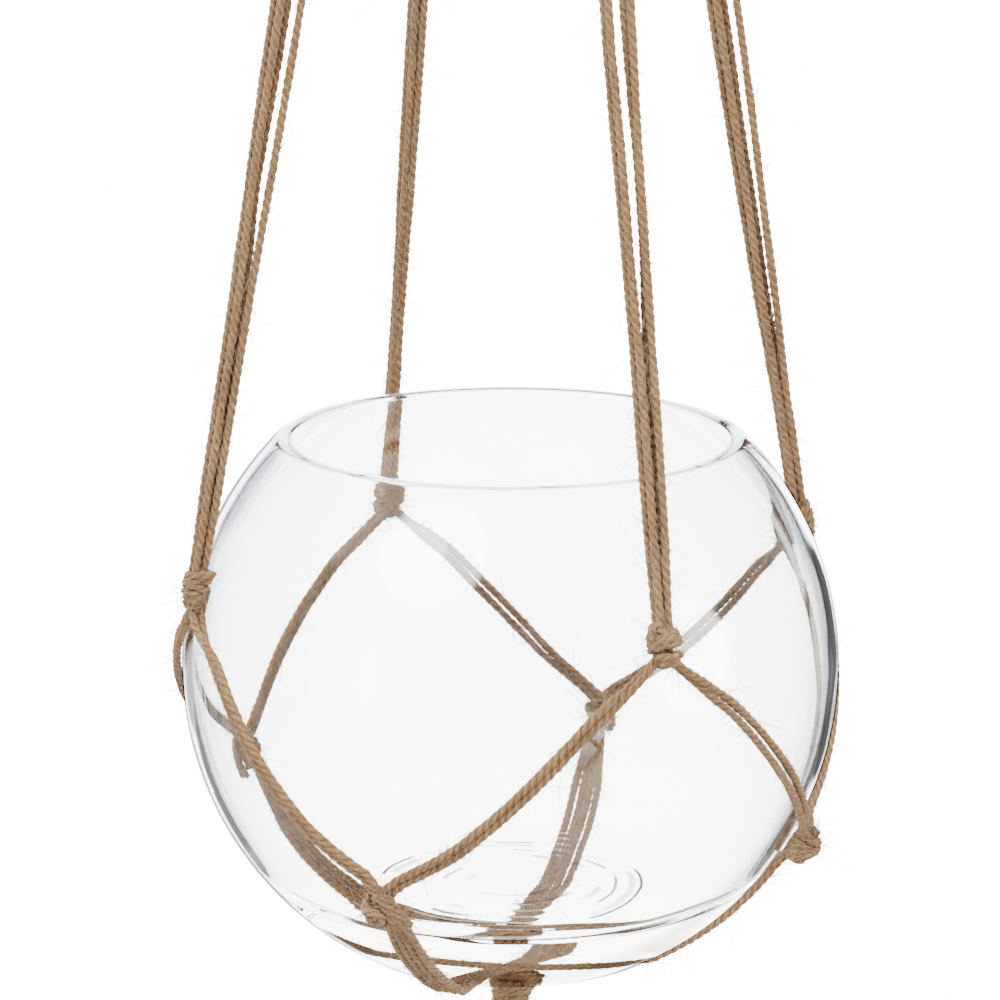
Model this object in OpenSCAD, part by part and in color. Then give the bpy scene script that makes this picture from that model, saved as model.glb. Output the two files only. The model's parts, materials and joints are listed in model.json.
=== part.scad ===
// Hanging macrame planter: a round glass bowl in a net of jute cord.
// Eight cords are folded over a steel ring. Their sixteen strands run down in four legs,
// cross in a net round the bowl, meet in one knot under it and end in a tassel.
// The origin is the point where a hook bears inside the ring, and everything hangs below it.

/* [Bowl] */
// Outside radius of the round bowl
bowl_r = 120; // [120:8:128]
// Wall thickness of the glass
wall_t = 3.8; // [3:0.2:6]
// Thickness of the glass under the bowl's inner floor
floor_t = 24; // [16:1:30]
// Height of the flat ground rim above the bowl's centre
rim_h = 85; // [75:1:92]
// Depth of the flat foot below the bowl's centre
foot_depth = 108; // [104:1:110]

/* [Cord] */
// Diameter of the jute cord
cord_d = 3; // [2.6:0.2:3]
// Depth of the bowl's centre below the hanging point
drop = 768; // [600:1:900]

/* [Legs] */
// Direction of each leg, in degrees: front left, front right, back right, back left
leg_azimuth = [200.5, 296, 385, 473.5];
// Height of each upper knot above the bowl's centre, in the same order
upper_knot_h = [39, 36, 42, 39];
// Direction of each lower knot, in degrees: front, right, back, left
lower_azimuth = [246, 351, 432, 514];
// Depth of each lower knot below the bowl's centre, in the same order
lower_knot_depth = [62, 64, 50, 50];
// Width of an upper knot
upper_knot_w = 14; // [12:0.5:15]
// Width of a lower knot
lower_knot_w = 16; // [15:0.5:17]
// Height of every knot in the net
knot_h = 17.5; // [16:0.5:19]

/* [Ring] */
// Inside radius of the hanging ring
ring_hole_r = 19; // [18:0.5:25]
// Radius of the ring's steel wire
wire_r = 2.5; // [2:0.1:2.8]
// Height of the wrapped binding under the ring
wrap_h = 29; // [20:1:40]
// Radius of the wrapped binding
wrap_r = 11; // [10.9:0.1:13]

/* [Tassel] */
// Radius of the round knot under the bowl
bottom_knot_r = 11; // [10.5:0.1:12]
// Length of the longest tassel strand
tassel_l = 112; // [80:1:160]

/* [Hidden] */
$fn = 96;

SIDES = ["front_left", "front_right", "back_right", "back_left"];
FACES = ["front", "right", "back", "left"];
STRANDS = [1:4];
TASSEL_STRANDS = 16;
// Sides of a strand in the bands under the bowl
BAND_FN = 48;

// Colours
JUTE = [0.68, 0.52, 0.37];
JUTE_DARK = [0.60, 0.45, 0.31];
STEEL = [0.72, 0.73, 0.75];
GLASS = [0.86, 0.92, 0.94, 0.35];

// Space left between the cord and the glass, which turns inside its net
glass_gap = 0.4;
// Strands lie side by side this far apart
pitch = cord_d + 0.1;
// Distance of a net strand's centre line from the bowl's centre
net_r = bowl_r + glass_gap + cord_d / 2;
// The knots are pressed flat on the glass, with their middle this far above the flat
knot_bed = 5.6;
knot_r = bowl_r + glass_gap + knot_bed;
// A net strand starts this far from the middle of its knot
knot_clear = 4;
// How far a leg strand is pushed up into the binding, and how far short of its knot's middle it stops
push_in = 4;
knot_stop = 3;

// The ring and what is tied to it
wire_z = -(2 * ring_hole_r + wire_r);
ring_r = ring_hole_r + wire_r;
fold_gap = 0.8;
fold_h = 12;
// Spacing of the folded cords along the wire, and of one layer over the other
fold_pitch = pitch + 0.1;
wrap_top_z = wire_z - fold_h;
wrap_bottom_z = wrap_top_z - wrap_h;
// Distance of a leg's middle from the planter's axis where it leaves the binding
leg_top_r = 6.4;

// Under the bowl
under_z = -(foot_depth + glass_gap + cord_d / 2);
band_end_r = 8;
// The strands bend round the foot's edge at this radius
foot_bend_r = 4;
// The knot's flat collar takes the strands in, just under the foot
collar_r = bottom_knot_r - 1;
collar_h = bottom_knot_r + 0.2;
foot_gap = 0.6;
bottom_knot_z = -(foot_depth + foot_gap + bottom_knot_r);
tassel_gap = 0.4;

// One tassel strand: steps outward, sideways and down from where it leaves the knot
TASSEL_ROUTE = [
    [0, 0, 0], [0, 0, 8], [0.2, 0.1, 16], [0.6, 0.4, 24], [1.2, 0.8, 32],
    [1.9, 1.1, 40], [2.6, 1.2, 48], [3.2, 1.1, 56], [3.8, 0.8, 64], [4.3, 0.4, 72],
    [4.8, 0, 80], [5.3, -0.3, 88], [5.8, -0.4, 96], [6.3, -0.3, 104], [6.8, 0, 112]
];
route_l = 112;
// Each strand is cut by hand, to this share of the longest one
TASSEL_CUT = [1, 0.95, 0.98, 0.92, 0.99, 0.94, 1, 0.96, 0.9, 0.97, 0.93, 1, 0.95, 0.98, 0.91, 0.96];
INNER_STRANDS = 5;
inner_tassel_r = 0.92 * cord_d;
outer_tassel_r = 1.95 * cord_d;

function unit(v) = v / norm(v);

// A point at distance r from the bowl's centre, at this azimuth and height
function on_sphere(r, azimuth, z) =
    let (flat = sqrt(r * r - z * z)) [flat * cos(azimuth), flat * sin(azimuth), z];

function upper_knot_at(leg) = on_sphere(knot_r, leg_azimuth[leg], upper_knot_h[leg]);
function lower_knot_at(face) = on_sphere(knot_r, lower_azimuth[face], -lower_knot_depth[face]);

// Half of the net: each leg's knot is tied to the lower knots on its two sides
function pair_leg(net_half) = floor(net_half / 2);
function pair_face(net_half) = (pair_leg(net_half) + 3 + net_half % 2) % 4;
function net_pair_name(net_half) =
    str("net_pair_", SIDES[pair_leg(net_half)], "_to_", FACES[pair_face(net_half)]);

// Turns a shape so that its X axis points along u and its Y axis along v
module turn_to(u, v) {
    n = cross(u, v);
    rotate([atan2(v.z, n.z), -asin(u.z), atan2(u.y, u.x)]) children();
}

module at_bowl() {
    translate([0, 0, -drop]) children();
}

// The welded steel ring
module hanging_ring() {
    color(STEEL) translate([0, 0, -ring_hole_r]) rotate([90, 0, 0])
        rotate_extrude() translate([ring_r, 0]) circle(r = wire_r);
}

// Two cords folded over the ring's wire, one on top of the other
module ring_fold(column) {
    x = (column - 2.5) * fold_pitch;
    wire_rise = ring_r - sqrt(ring_r * ring_r - x * x);
    fold_z = wire_z + wire_rise;
    color(JUTE) translate([x, 0, fold_z]) for (layer = [0, 1]) {
        fold_r = wire_r + fold_gap + cord_d / 2 + layer * fold_pitch;
        rotate([90, 0, 90]) rotate_extrude(angle = 180) translate([fold_r, 0]) circle(d = cord_d);
        for (side = [-1, 1])
            translate([0, side * fold_r, wrap_top_z - fold_z])
                cylinder(d = cord_d, h = fold_z - wrap_top_z);
    }
}

// The binding that gathers all strands under the ring
module gathering_wrap() {
    color(JUTE_DARK) translate([0, 0, wrap_bottom_z]) cylinder(r = wrap_r, h = wrap_h);
}

// One strand of a leg, from the binding to the upper knot
module leg_strand(leg, strand) {
    azimuth = leg_azimuth[leg];
    sideways = [-sin(azimuth), cos(azimuth), 0];
    top = [leg_top_r * cos(azimuth), leg_top_r * sin(azimuth), wrap_bottom_z];
    knot = upper_knot_at(leg) - [0, 0, drop];
    along = unit(knot - top);
    side = (strand % 2) - 0.5;
    layer = floor((strand - 1) / 2) - 0.5;
    color(JUTE) translate(top) turn_to(along, sideways)
        translate([-push_in, side * pitch, layer * pitch]) rotate([0, 90, 0])
            cylinder(d = cord_d, h = norm(knot - top) + push_in - knot_stop);
}

// A knot in the net, pressed flat where it lies on the glass
module net_knot(centre, azimuth, width) {
    color(JUTE_DARK) at_bowl() difference() {
        translate(centre) turn_to(unit(centre), [-sin(azimuth), cos(azimuth), 0])
            intersection() {
                sphere(d = knot_h);
                cylinder(d = width, h = knot_h, center = true);
            }
        sphere(r = bowl_r + glass_gap);
    }
}

module upper_knot(leg) {
    net_knot(upper_knot_at(leg), leg_azimuth[leg], upper_knot_w);
}

module lower_knot(face) {
    net_knot(lower_knot_at(face), lower_azimuth[face], lower_knot_w);
}

// Two strands side by side on the glass, from an upper knot to a lower one
module net_pair(net_half) {
    from = unit(upper_knot_at(pair_leg(net_half)));
    to = unit(lower_knot_at(pair_face(net_half)));
    axis = unit(cross(from, to));
    start = asin(knot_clear / net_r);
    lane_r = sqrt(net_r * net_r - pitch * pitch / 4);
    color(JUTE) at_bowl() turn_to(from, cross(axis, from)) rotate([0, 0, start])
        for (side = [-0.5, 0.5])
            translate([0, 0, side * pitch])
                rotate_extrude(angle = acos(from * to) - 2 * start)
                    translate([lane_r, 0]) circle(d = cord_d);
}

// Four strands side by side, from a lower knot down the glass, round the foot's edge and in under it
module base_band(face) {
    $fn = BAND_FN;
    knot_angle = -asin(lower_knot_depth[face] / knot_r) - asin(knot_clear / net_r);
    color(JUTE) at_bowl() rotate([0, 0, lower_azimuth[face]])
        for (lane = [-1.5:1:1.5]) {
            lane_r = sqrt(net_r * net_r - pow(lane * pitch, 2));
            elbow_z = under_z + foot_bend_r;
            elbow_x = sqrt(pow(lane_r - foot_bend_r, 2) - elbow_z * elbow_z);
            foot_angle = atan2(elbow_z, elbow_x);
            translate([0, lane * pitch, 0]) {
                rotate([90, 0, 0]) rotate([0, 0, foot_angle])
                    rotate_extrude(angle = knot_angle - foot_angle)
                        translate([lane_r, 0]) circle(d = cord_d);
                translate([elbow_x, 0, elbow_z]) rotate([90, 0, 0]) rotate([0, 0, -90])
                    rotate_extrude(angle = foot_angle + 90)
                        translate([foot_bend_r, 0]) circle(d = cord_d);
                translate([band_end_r, 0, under_z]) rotate([0, 90, 0])
                    cylinder(d = cord_d, h = elbow_x - band_end_r);
            }
        }
}

// The round knot that ties all sixteen strands under the bowl
module bottom_knot() {
    color(JUTE_DARK) at_bowl() translate([0, 0, bottom_knot_z]) {
        sphere(r = bottom_knot_r);
        cylinder(r = collar_r, h = collar_h);
    }
}

// A closed tube with level rings, from the top point down to the last
module tube(points) {
    sides = 8;
    rings = len(points);
    polyhedron(
        points = [
            for (p = points, k = [0:sides - 1])
                p + cord_d / 2 * [cos(360 * k / sides), sin(360 * k / sides), 0]
        ],
        faces = concat(
            [[for (k = [sides - 1:-1:0]) k]],
            [
                for (ring = [0:rings - 2], k = [0:sides - 1])
                    let (next = (k + 1) % sides, top = ring * sides, low = top + sides)
                        each [[top + k, top + next, low + next], [top + k, low + next, low + k]]
            ],
            [[for (k = [0:sides - 1]) (rings - 1) * sides + k]]
        )
    );
}

// One free strand of the tassel
module tassel_strand(strand) {
    inner = strand <= INNER_STRANDS;
    place = inner ? strand / INNER_STRANDS : strand / (TASSEL_STRANDS - INNER_STRANDS);
    start_r = inner ? inner_tassel_r : outer_tassel_r;
    spread = inner ? 0.4 : 1;
    cut = TASSEL_CUT[strand - 1] * tassel_l / route_l;
    start_z = bottom_knot_z - bottom_knot_r - tassel_gap;
    color(JUTE) at_bowl() rotate([0, 0, 360 * place])
        tube([
            for (step = TASSEL_ROUTE)
                [start_r + spread * step.x, spread * step.y, start_z - cut * step.z]
        ]);
}

// The round glass bowl, with a flat ground rim, a flat foot and a thick floor
module glass_bowl() {
    inner_r = bowl_r - wall_t;
    floor_z = floor_t - foot_depth;
    color(GLASS) at_bowl() difference() {
        intersection() {
            sphere(r = bowl_r);
            translate([0, 0, -foot_depth]) cylinder(r = bowl_r + 1, h = foot_depth + rim_h);
        }
        intersection() {
            sphere(r = inner_r);
            translate([0, 0, floor_z]) cylinder(r = bowl_r, h = 2 * bowl_r);
        }
    }
}

hanging_ring();
gathering_wrap();
glass_bowl();
bottom_knot();
for (column = STRANDS)
    ring_fold(column);
for (leg = [0:3], strand = STRANDS)
    leg_strand(leg, strand);
for (leg = [0:3])
    upper_knot(leg);
for (face = [0:3])
    lower_knot(face);
for (net_half = [0:7])
    net_pair(net_half);
for (face = [0:3])
    base_band(face);
for (strand = [1:TASSEL_STRANDS])
    tassel_strand(strand);
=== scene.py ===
"""Hanging macrame planter: a round glass bowl in a knotted net of jute cord, hung from a steel ring.

Everything is placed from the CAD frame. Routes are worked out in millimetres from the bowl's centre or
from the hanging point, and turned into metres when a mesh is made.
"""
import json
import math

import bpy
import numpy as np
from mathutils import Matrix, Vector


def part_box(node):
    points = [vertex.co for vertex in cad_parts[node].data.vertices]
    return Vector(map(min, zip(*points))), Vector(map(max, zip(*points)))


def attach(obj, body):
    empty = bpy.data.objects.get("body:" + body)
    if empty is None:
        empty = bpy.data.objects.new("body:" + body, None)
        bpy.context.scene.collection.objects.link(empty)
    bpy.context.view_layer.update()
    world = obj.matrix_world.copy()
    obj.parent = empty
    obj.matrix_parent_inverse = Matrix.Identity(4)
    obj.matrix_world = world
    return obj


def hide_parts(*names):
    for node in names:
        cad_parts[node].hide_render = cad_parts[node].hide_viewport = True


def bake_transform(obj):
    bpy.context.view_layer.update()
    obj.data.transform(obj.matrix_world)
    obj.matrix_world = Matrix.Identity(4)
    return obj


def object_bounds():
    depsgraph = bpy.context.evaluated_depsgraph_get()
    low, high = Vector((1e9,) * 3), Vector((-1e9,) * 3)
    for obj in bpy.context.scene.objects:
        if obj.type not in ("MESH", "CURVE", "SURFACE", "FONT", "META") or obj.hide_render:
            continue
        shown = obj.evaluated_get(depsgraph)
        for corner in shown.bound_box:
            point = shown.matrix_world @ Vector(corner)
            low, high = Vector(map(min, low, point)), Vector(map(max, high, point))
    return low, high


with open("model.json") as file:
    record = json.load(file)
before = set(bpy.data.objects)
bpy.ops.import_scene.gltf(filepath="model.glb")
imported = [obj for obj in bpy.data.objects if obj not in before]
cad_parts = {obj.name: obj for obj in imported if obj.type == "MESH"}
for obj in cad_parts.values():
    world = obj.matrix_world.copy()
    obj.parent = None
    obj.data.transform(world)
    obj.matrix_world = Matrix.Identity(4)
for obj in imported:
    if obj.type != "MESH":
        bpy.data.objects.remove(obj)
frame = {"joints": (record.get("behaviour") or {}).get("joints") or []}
CAD_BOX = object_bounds()

MM = 0.001
TURN = 2 * math.pi

# ---- sizes taken from the CAD frame

JOINT_AT = {joint["name"]: np.array(joint["pos_m"]) / MM for joint in frame["joints"]}
BOWL_AT = JOINT_AT["bowl_turn"]
WIRE_AT = JOINT_AT["ring_swing"]
TASSEL_AT = JOINT_AT["tassel_swing"]


def node_box(node):
    """A CAD node's lowest and highest corners, in millimetres."""
    low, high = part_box(node)
    return np.array(low) / MM, np.array(high) / MM


BOWL_LOW, BOWL_HIGH = node_box("glass_bowl")
WRAP_LOW, WRAP_HIGH = node_box("gathering_wrap")
RING_LOW, RING_HIGH = node_box("hanging_ring")
KNOT_LOW = node_box("bottom_knot")[0]

BOWL_R = round((BOWL_HIGH[0] - BOWL_LOW[0]) / 2)
RIM_H = BOWL_HIGH[2] - BOWL_AT[2]
FOOT_DEPTH = BOWL_AT[2] - BOWL_LOW[2]
WALL = 3.8
FLOOR_T = 24
# Height of the flat inner floor, from the bowl's centre
FLOOR_Z = FLOOR_T - FOOT_DEPTH

WIRE_R = 2.5
RING_R = (RING_HIGH[2] - RING_LOW[2]) / 2 - WIRE_R

CORD_R = 1.5
# The cord's loose plies stand a little proud of its measured thickness
PLUMP_R = 1.6
# Space left between the cord and the glass, and between strands side by side
GLASS_GAP = 0.4
STRAND_GAP = 0.1
PITCH = 2 * CORD_R + STRAND_GAP
# Distance from the bowl's centre to a strand's middle and to a knot's middle
NET_R = BOWL_R + GLASS_GAP + CORD_R
KNOT_BED = 5.6
KNOT_R = BOWL_R + GLASS_GAP + KNOT_BED
# Height of the strands under the foot, from the bowl's centre
UNDER_Z = -(FOOT_DEPTH + GLASS_GAP + CORD_R)

# First random seed of each group of pieces
SEEDS = {"leg": 100, "net": 300, "band": 400, "knot": 500, "bottom": 600, "wrap": 610, "fold": 641,
         "tassel": 700}

SIDES = ["front_left", "front_right", "back_right", "back_left"]
FACES = ["front", "right", "back", "left"]


# ---- curves

def unit(v):
    """The vectors at length 1."""
    return v / np.linalg.norm(v, axis=-1, keepdims=True)


def ease(x):
    """Runs smoothly from 0 to 1 as x does, and stays level outside."""
    x = np.clip(x, 0, 1)
    return x * x * (3 - 2 * x)


def spline(points, count):
    """A smooth curve through the points, as count points evenly spaced along it."""
    p = np.asarray(points, float)
    p = np.vstack([2 * p[0] - p[1], p, 2 * p[-1] - p[-2]])
    t = np.linspace(0, 1, 24, endpoint=False)[:, None]
    fine = []
    for a, b, c, d in zip(p[:-3], p[1:-2], p[2:-1], p[3:]):
        fine.append(0.5 * (2 * b + (c - a) * t + (2 * a - 5 * b + 4 * c - d) * t**2
                           + (3 * b - a - 3 * c + d) * t**3))
    fine = np.vstack(fine + [p[-2:-1]])
    return evenly(fine, count)


def run_along(path):
    """How far along the path each of its points is."""
    return np.concatenate([[0], np.cumsum(np.linalg.norm(np.diff(path, axis=0), axis=1))])


def evenly(path, count):
    """The same path with count points evenly spaced along it."""
    along = run_along(path)
    wanted = np.linspace(0, along[-1], count)
    return np.stack([np.interp(wanted, along, path[:, axis]) for axis in range(3)], 1)


def length_of(path):
    """The path's length along its points."""
    return np.linalg.norm(np.diff(path, axis=0), axis=1).sum()


def frames_along(path):
    """Tangent and two cross directions at each point, carried along without twist."""
    tangent = unit(np.gradient(path, axis=0))
    helper = np.array([0.0, 0.0, 1.0]) if abs(tangent[0, 2]) < 0.9 else np.array([1.0, 0.0, 0.0])
    normal = np.empty_like(path)
    normal[0] = unit(np.cross(tangent[0], helper))
    for i in range(1, len(path)):
        n = normal[i - 1] - tangent[i] * (normal[i - 1] @ tangent[i])
        normal[i] = unit(n)
    return tangent, normal, np.cross(tangent, normal)


# ---- mesh building

def add_object(name, data):
    """A new object in the scene."""
    made = bpy.data.objects.new(name, data)
    bpy.context.scene.collection.objects.link(made)
    return made


class Mesh:
    """Collects vertices, faces and texture places, and makes one Blender object of them."""

    def __init__(self, fibres_only=False):
        self.fibres_only = fibres_only
        self.verts = []
        self.count = 0
        self.faces = []

    def add(self, verts, *parts, slot=0):
        """Each part is rows of 3 or 4 corner numbers, and a texture place for each corner or None."""
        for faces, uv in parts:
            places = np.zeros((*faces.shape, 2)) if uv is None else uv
            self.faces.append((faces + self.count, places, slot))
        self.verts.append(verts)
        self.count += len(verts)

    def build(self, name, materials, body=None, nodes=()):
        """Makes the object, puts it on its body and hides the CAD nodes it replaces."""
        mesh = bpy.data.meshes.new(name)
        verts = np.vstack(self.verts) * MM
        mesh.vertices.add(len(verts))
        mesh.vertices.foreach_set("co", verts.astype(np.float32).ravel())
        groups, uvs, numbers = zip(*self.faces)
        corners = np.concatenate([faces.ravel() for faces in groups])
        sizes = np.concatenate([np.full(len(faces), faces.shape[1]) for faces in groups])
        slots = np.concatenate([np.full(len(faces), number) for faces, number in zip(groups, numbers)])
        mesh.loops.add(len(corners))
        mesh.loops.foreach_set("vertex_index", corners.astype(np.int32))
        mesh.polygons.add(len(sizes))
        mesh.polygons.foreach_set("loop_start", (np.cumsum(sizes) - sizes).astype(np.int32))
        mesh.polygons.foreach_set("material_index", slots.astype(np.int32))
        mesh.polygons.foreach_set("use_smooth", np.ones(len(sizes), bool))
        places = mesh.uv_layers.new(name="UVMap")
        uv = np.concatenate([place.reshape(-1, 2) for place in uvs])
        places.data.foreach_set("uv", uv.astype(np.float32).ravel())
        for material in materials:
            mesh.materials.append(material)
        mesh.update(calc_edges=True)
        mesh.validate()
        piece = add_object(name, mesh)
        if body:
            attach(piece, body)
        if nodes:
            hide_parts(*nodes)
        return piece


def wall_quads(rings, sides):
    """Quads from each ring of corners to the next."""
    first = np.arange(rings - 1)[:, None] * sides
    side = np.arange(sides)[None, :]
    follow = (side + 1) % sides
    return np.stack([first + side, first + follow, first + sides + follow, first + sides + side],
                    -1).reshape(-1, 4)


def end_fans(rings, sides):
    """Triangles that close the first and last ring, round two middles that come after all the rings."""
    side = np.arange(sides)
    follow = (side + 1) % sides
    middle = np.full(sides, rings * sides)
    last = (rings - 1) * sides
    return np.stack([middle, follow, side], 1), np.stack([middle + 1, last + side, last + follow], 1)


def add_tube(mesh, path, outline_r, outline_angle, taper, twist, phase):
    """A closed tube along path. Its outline is given by radii at angles, and turns by twist radians a mm."""
    rings = len(path)
    sides = len(outline_r)
    normal, cross = frames_along(path)[1:]
    along = run_along(path)
    angle = outline_angle[None, :] + (phase + twist * along)[:, None]
    radius = outline_r[None, :] * taper[:, None]
    offset = (np.cos(angle) * radius)[..., None] * normal[:, None] + \
             (np.sin(angle) * radius)[..., None] * cross[:, None]
    verts = (path[:, None] + offset).reshape(-1, 3)
    u, v = np.meshgrid(np.arange(sides) / sides, along[:-1])
    w = np.meshgrid(np.arange(sides), along[1:])[1]
    step = 1 / sides
    uv = np.stack([np.stack([u, v], -1), np.stack([u + step, v], -1),
                   np.stack([u + step, w], -1), np.stack([u, w], -1)], -2).reshape(-1, 4, 2)
    caps = [np.broadcast_to((0.5, place), (sides, 3, 2)) for place in (0.0, along[-1])]
    start, end = end_fans(rings, sides)
    mesh.add(np.vstack([verts, path[:1], path[-1:]]), (wall_quads(rings, sides), uv),
             (start, caps[0]), (end, caps[1]))


PLIES = 3
# Sides of each ply's outline, the last of them in the groove beside it
PLY_SIDES = 7
# Radius of a ply, and of the cord in the grooves, as shares of the cord's radius
PLY_SHARE = 0.6
GROOVE_SHARE = 0.79
# Length of one full twist of the cord
LAY = 11.0
# The cord's thickness varies by about 5% from one slub to the next, this many points apart
SLUB = 7
SLUB_SHARE = 0.05
# Loose fibres: radius, least reach off the cord, shape and scale of the spread in reach, and curl
HAIR_R = 0.115
HAIR_SHORTEST = 0.8
HAIR_SPREAD = (1.8, 1.25)
HAIR_CURL = 0.6
# A fibre's thickness from its root to its tip
HAIR_TAPER = np.array([1, 1, 0.9, 0.75, 0.4])
# Fibres that stand out of a strand's cut end
END_FIBRES = 40


def ply_outline(cord_r):
    """Cross section of a laid cord: three round plies that meet in grooves."""
    ply_r = PLY_SHARE * cord_r
    out = cord_r - ply_r
    angles = []
    radii = []
    for ply in range(PLIES):
        for local in (-46, -28, -9, 9, 28, 46):
            a = math.radians(local)
            r = out * math.cos(a) + math.sqrt(ply_r**2 - (out * math.sin(a))**2)
            angles.append(ply * TURN / PLIES + a)
            radii.append(r)
        angles.append((ply + 0.5) * TURN / PLIES)
        radii.append(GROOVE_SHARE * cord_r)
    return np.array(radii), np.array(angles)


def add_cord(mesh, path, rng, cord_r=PLUMP_R, step=1.1, fuzz=2.0, frayed=False, fibre_mesh=None):
    """A laid three-ply cord along path, with loose fibres standing off it."""
    count = max(6, int(length_of(path) / step))
    path = evenly(path, count)
    radii, angles = ply_outline(cord_r)
    slubs = np.arange(0, count + SLUB, SLUB)
    swell = 1 + SLUB_SHARE * np.interp(np.arange(count), slubs, rng.normal(size=len(slubs)))
    if frayed:
        swell *= 1 + 0.25 * ease((np.arange(count) - count + 9) / 8)
    add_tube(mesh, path, radii, angles, swell, -TURN / LAY, rng.uniform(0, TURN))
    add_fuzz(fibre_mesh or mesh, path, rng, cord_r, int(fuzz * length_of(path)), frayed)


def add_fuzz(mesh, path, rng, cord_r, number, frayed):
    """Loose fibres: thin closed hairs that leave the cord at a low angle and curl away from it."""
    ends = END_FIBRES if frayed else 0
    number += ends
    if number == 0:
        return
    tangent, normal, cross = frames_along(path)
    at = rng.integers(0, len(path), number)
    at[number - ends:] = len(path) - 1
    loose = at == len(path) - 1
    around = rng.uniform(0, TURN, number)
    outward = np.cos(around)[:, None] * normal[at] + np.sin(around)[:, None] * cross[at]
    way = np.where(rng.random(number) < 0.5, -1.0, 1.0)
    way[loose] = 1.0
    reach = rng.gamma(*HAIR_SPREAD, number) + HAIR_SHORTEST
    start = path[at] + outward * cord_r * np.where(loose, rng.uniform(0.1, 0.9, number), 0.8)[:, None]
    lean = rng.uniform(0.15, 0.8, number)[:, None]
    lean[loose] *= 0.35
    run = unit(tangent[at] * way[:, None] + outward * lean + 0.25 * rng.normal(size=(number, 3)))
    curl = HAIR_CURL * reach[:, None] * rng.normal(size=(number, 3))
    steps = len(HAIR_TAPER)
    sides = 3
    s = np.linspace(0, 1, steps)
    line = start[:, None] + run[:, None] * (reach[:, None] * s)[..., None] + \
        curl[:, None] * (s**2)[None, :, None]
    thick = (HAIR_R * HAIR_TAPER)[None, :, None, None]
    across = unit(np.cross(run, rng.normal(size=(number, 3))))
    other = np.cross(run, across)
    k = np.arange(sides) * TURN / sides
    ring = np.cos(k)[None, :, None] * across[:, None] + np.sin(k)[None, :, None] * other[:, None]
    verts = (line[:, :, None] + thick * ring[:, None]).reshape(-1, 3)
    first = np.arange(number)[:, None] * steps * sides
    quads = (first[:, :, None] + wall_quads(steps, sides)).reshape(-1, 4)
    caps = np.vstack([first + np.array([[2, 1, 0]]), first + (steps - 1) * sides + np.array([[0, 1, 2]])])
    mesh.add(verts, (quads, None), (caps, None), slot=0 if mesh.fibres_only else 1)


# ---- materials

# Where a colour mix node keeps its factor and its two colours, and its result
MIX_INPUTS = (0, 6, 7)
MIX_RESULT = 2

CLEAR = (1.0, 1.0, 1.0)


def new_node(tree, kind):
    """A shader node of the kind, in the tree."""
    return tree.nodes.new("ShaderNode" + kind)


def put(socket, value):
    """Gives a socket a number, a vector, a colour or what another socket puts out."""
    if isinstance(value, bpy.types.NodeSocket):
        socket.id_data.links.new(value, socket)
    elif socket.type == "RGBA":
        socket.default_value = (*value, 1)
    else:
        socket.default_value = value


def settle(node, values):
    """Gives a node's inputs their values, by name."""
    for name, value in values.items():
        put(node.inputs[name], value)


def empty_tree(owner):
    """The owner's node tree, with nothing in it."""
    owner.use_nodes = True
    owner.node_tree.nodes.clear()
    return owner.node_tree


def new_material(name):
    """A material with only a Principled shader in it."""
    material = bpy.data.materials.new(name)
    tree = empty_tree(material)
    output = new_node(tree, "OutputMaterial")
    shader = new_node(tree, "BsdfPrincipled")
    settle(output, {"Surface": shader.outputs[0]})
    return material, tree, shader


def stretched_noise(tree, scale, scale_by, detail, coordinates="UV"):
    """Noise stretched along the cord, in texture places, or in the object's own."""
    place = new_node(tree, "TexCoord")
    mapping = new_node(tree, "Mapping")
    settle(mapping, {"Scale": scale_by, "Vector": place.outputs[coordinates]})
    noise = new_node(tree, "TexNoise")
    settle(noise, {"Scale": scale, "Detail": detail, "Vector": mapping.outputs[0]})
    return noise.outputs[0]


def ramp(tree, source, stops):
    """Colours chosen by the source's value, from stops of (value, colour)."""
    made = new_node(tree, "ValToRGB")
    elements = made.color_ramp.elements
    while len(elements) < len(stops):
        elements.new(0.5)
    for element, (position, colour) in zip(elements, stops):
        element.position = position
        element.color = (*colour, 1)
    put(made.inputs[0], source)
    return made.outputs[0]


def choose(tree, factor, below, above, blend="MIX"):
    """The colour below at factor 0 and above at factor 1."""
    made = new_node(tree, "Mix")
    made.data_type = "RGBA"
    made.blend_type = blend
    for place, value in zip(MIX_INPUTS, (factor, below, above)):
        put(made.inputs[place], value)
    return made.outputs[MIX_RESULT]


def tinted(tree, tone, by, strength=1.0):
    """The tone multiplied by another colour."""
    return choose(tree, strength, tone, by, "MULTIPLY")


def calculate(tree, operation, *values):
    """A maths step on numbers or sockets."""
    made = new_node(tree, "Math")
    made.operation = operation
    for socket, value in zip(made.inputs, values):
        put(socket, value)
    return made.outputs[0]


def product(tree, first, *others):
    """All the values multiplied together."""
    for other in others:
        first = calculate(tree, "MULTIPLY", first, other)
    return first


def vector_step(tree, operation, vector, by=None, gives="Vector"):
    """A maths step on a vector, which gives a Vector or a Value."""
    made = new_node(tree, "VectorMath")
    made.operation = operation
    put(made.inputs[0], vector)
    if by is not None:
        put(made.inputs[1], by)
    return made.outputs[gives]


def between(tree, value, start, end, low=0.0, high=1.0, shape="LINEAR"):
    """Runs from low to high as value goes from start to end."""
    made = new_node(tree, "MapRange")
    made.interpolation_type = shape
    settle(made, {"Value": value, "From Min": start, "From Max": end, "To Min": low, "To Max": high})
    return made.outputs[0]


def add_bump(tree, shader, height, strength, distance):
    """Fine relief on a surface; the distance is in metres."""
    bump = new_node(tree, "Bump")
    settle(bump, {"Strength": strength, "Distance": distance, "Height": height})
    settle(shader, {"Normal": bump.outputs[0]})


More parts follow.
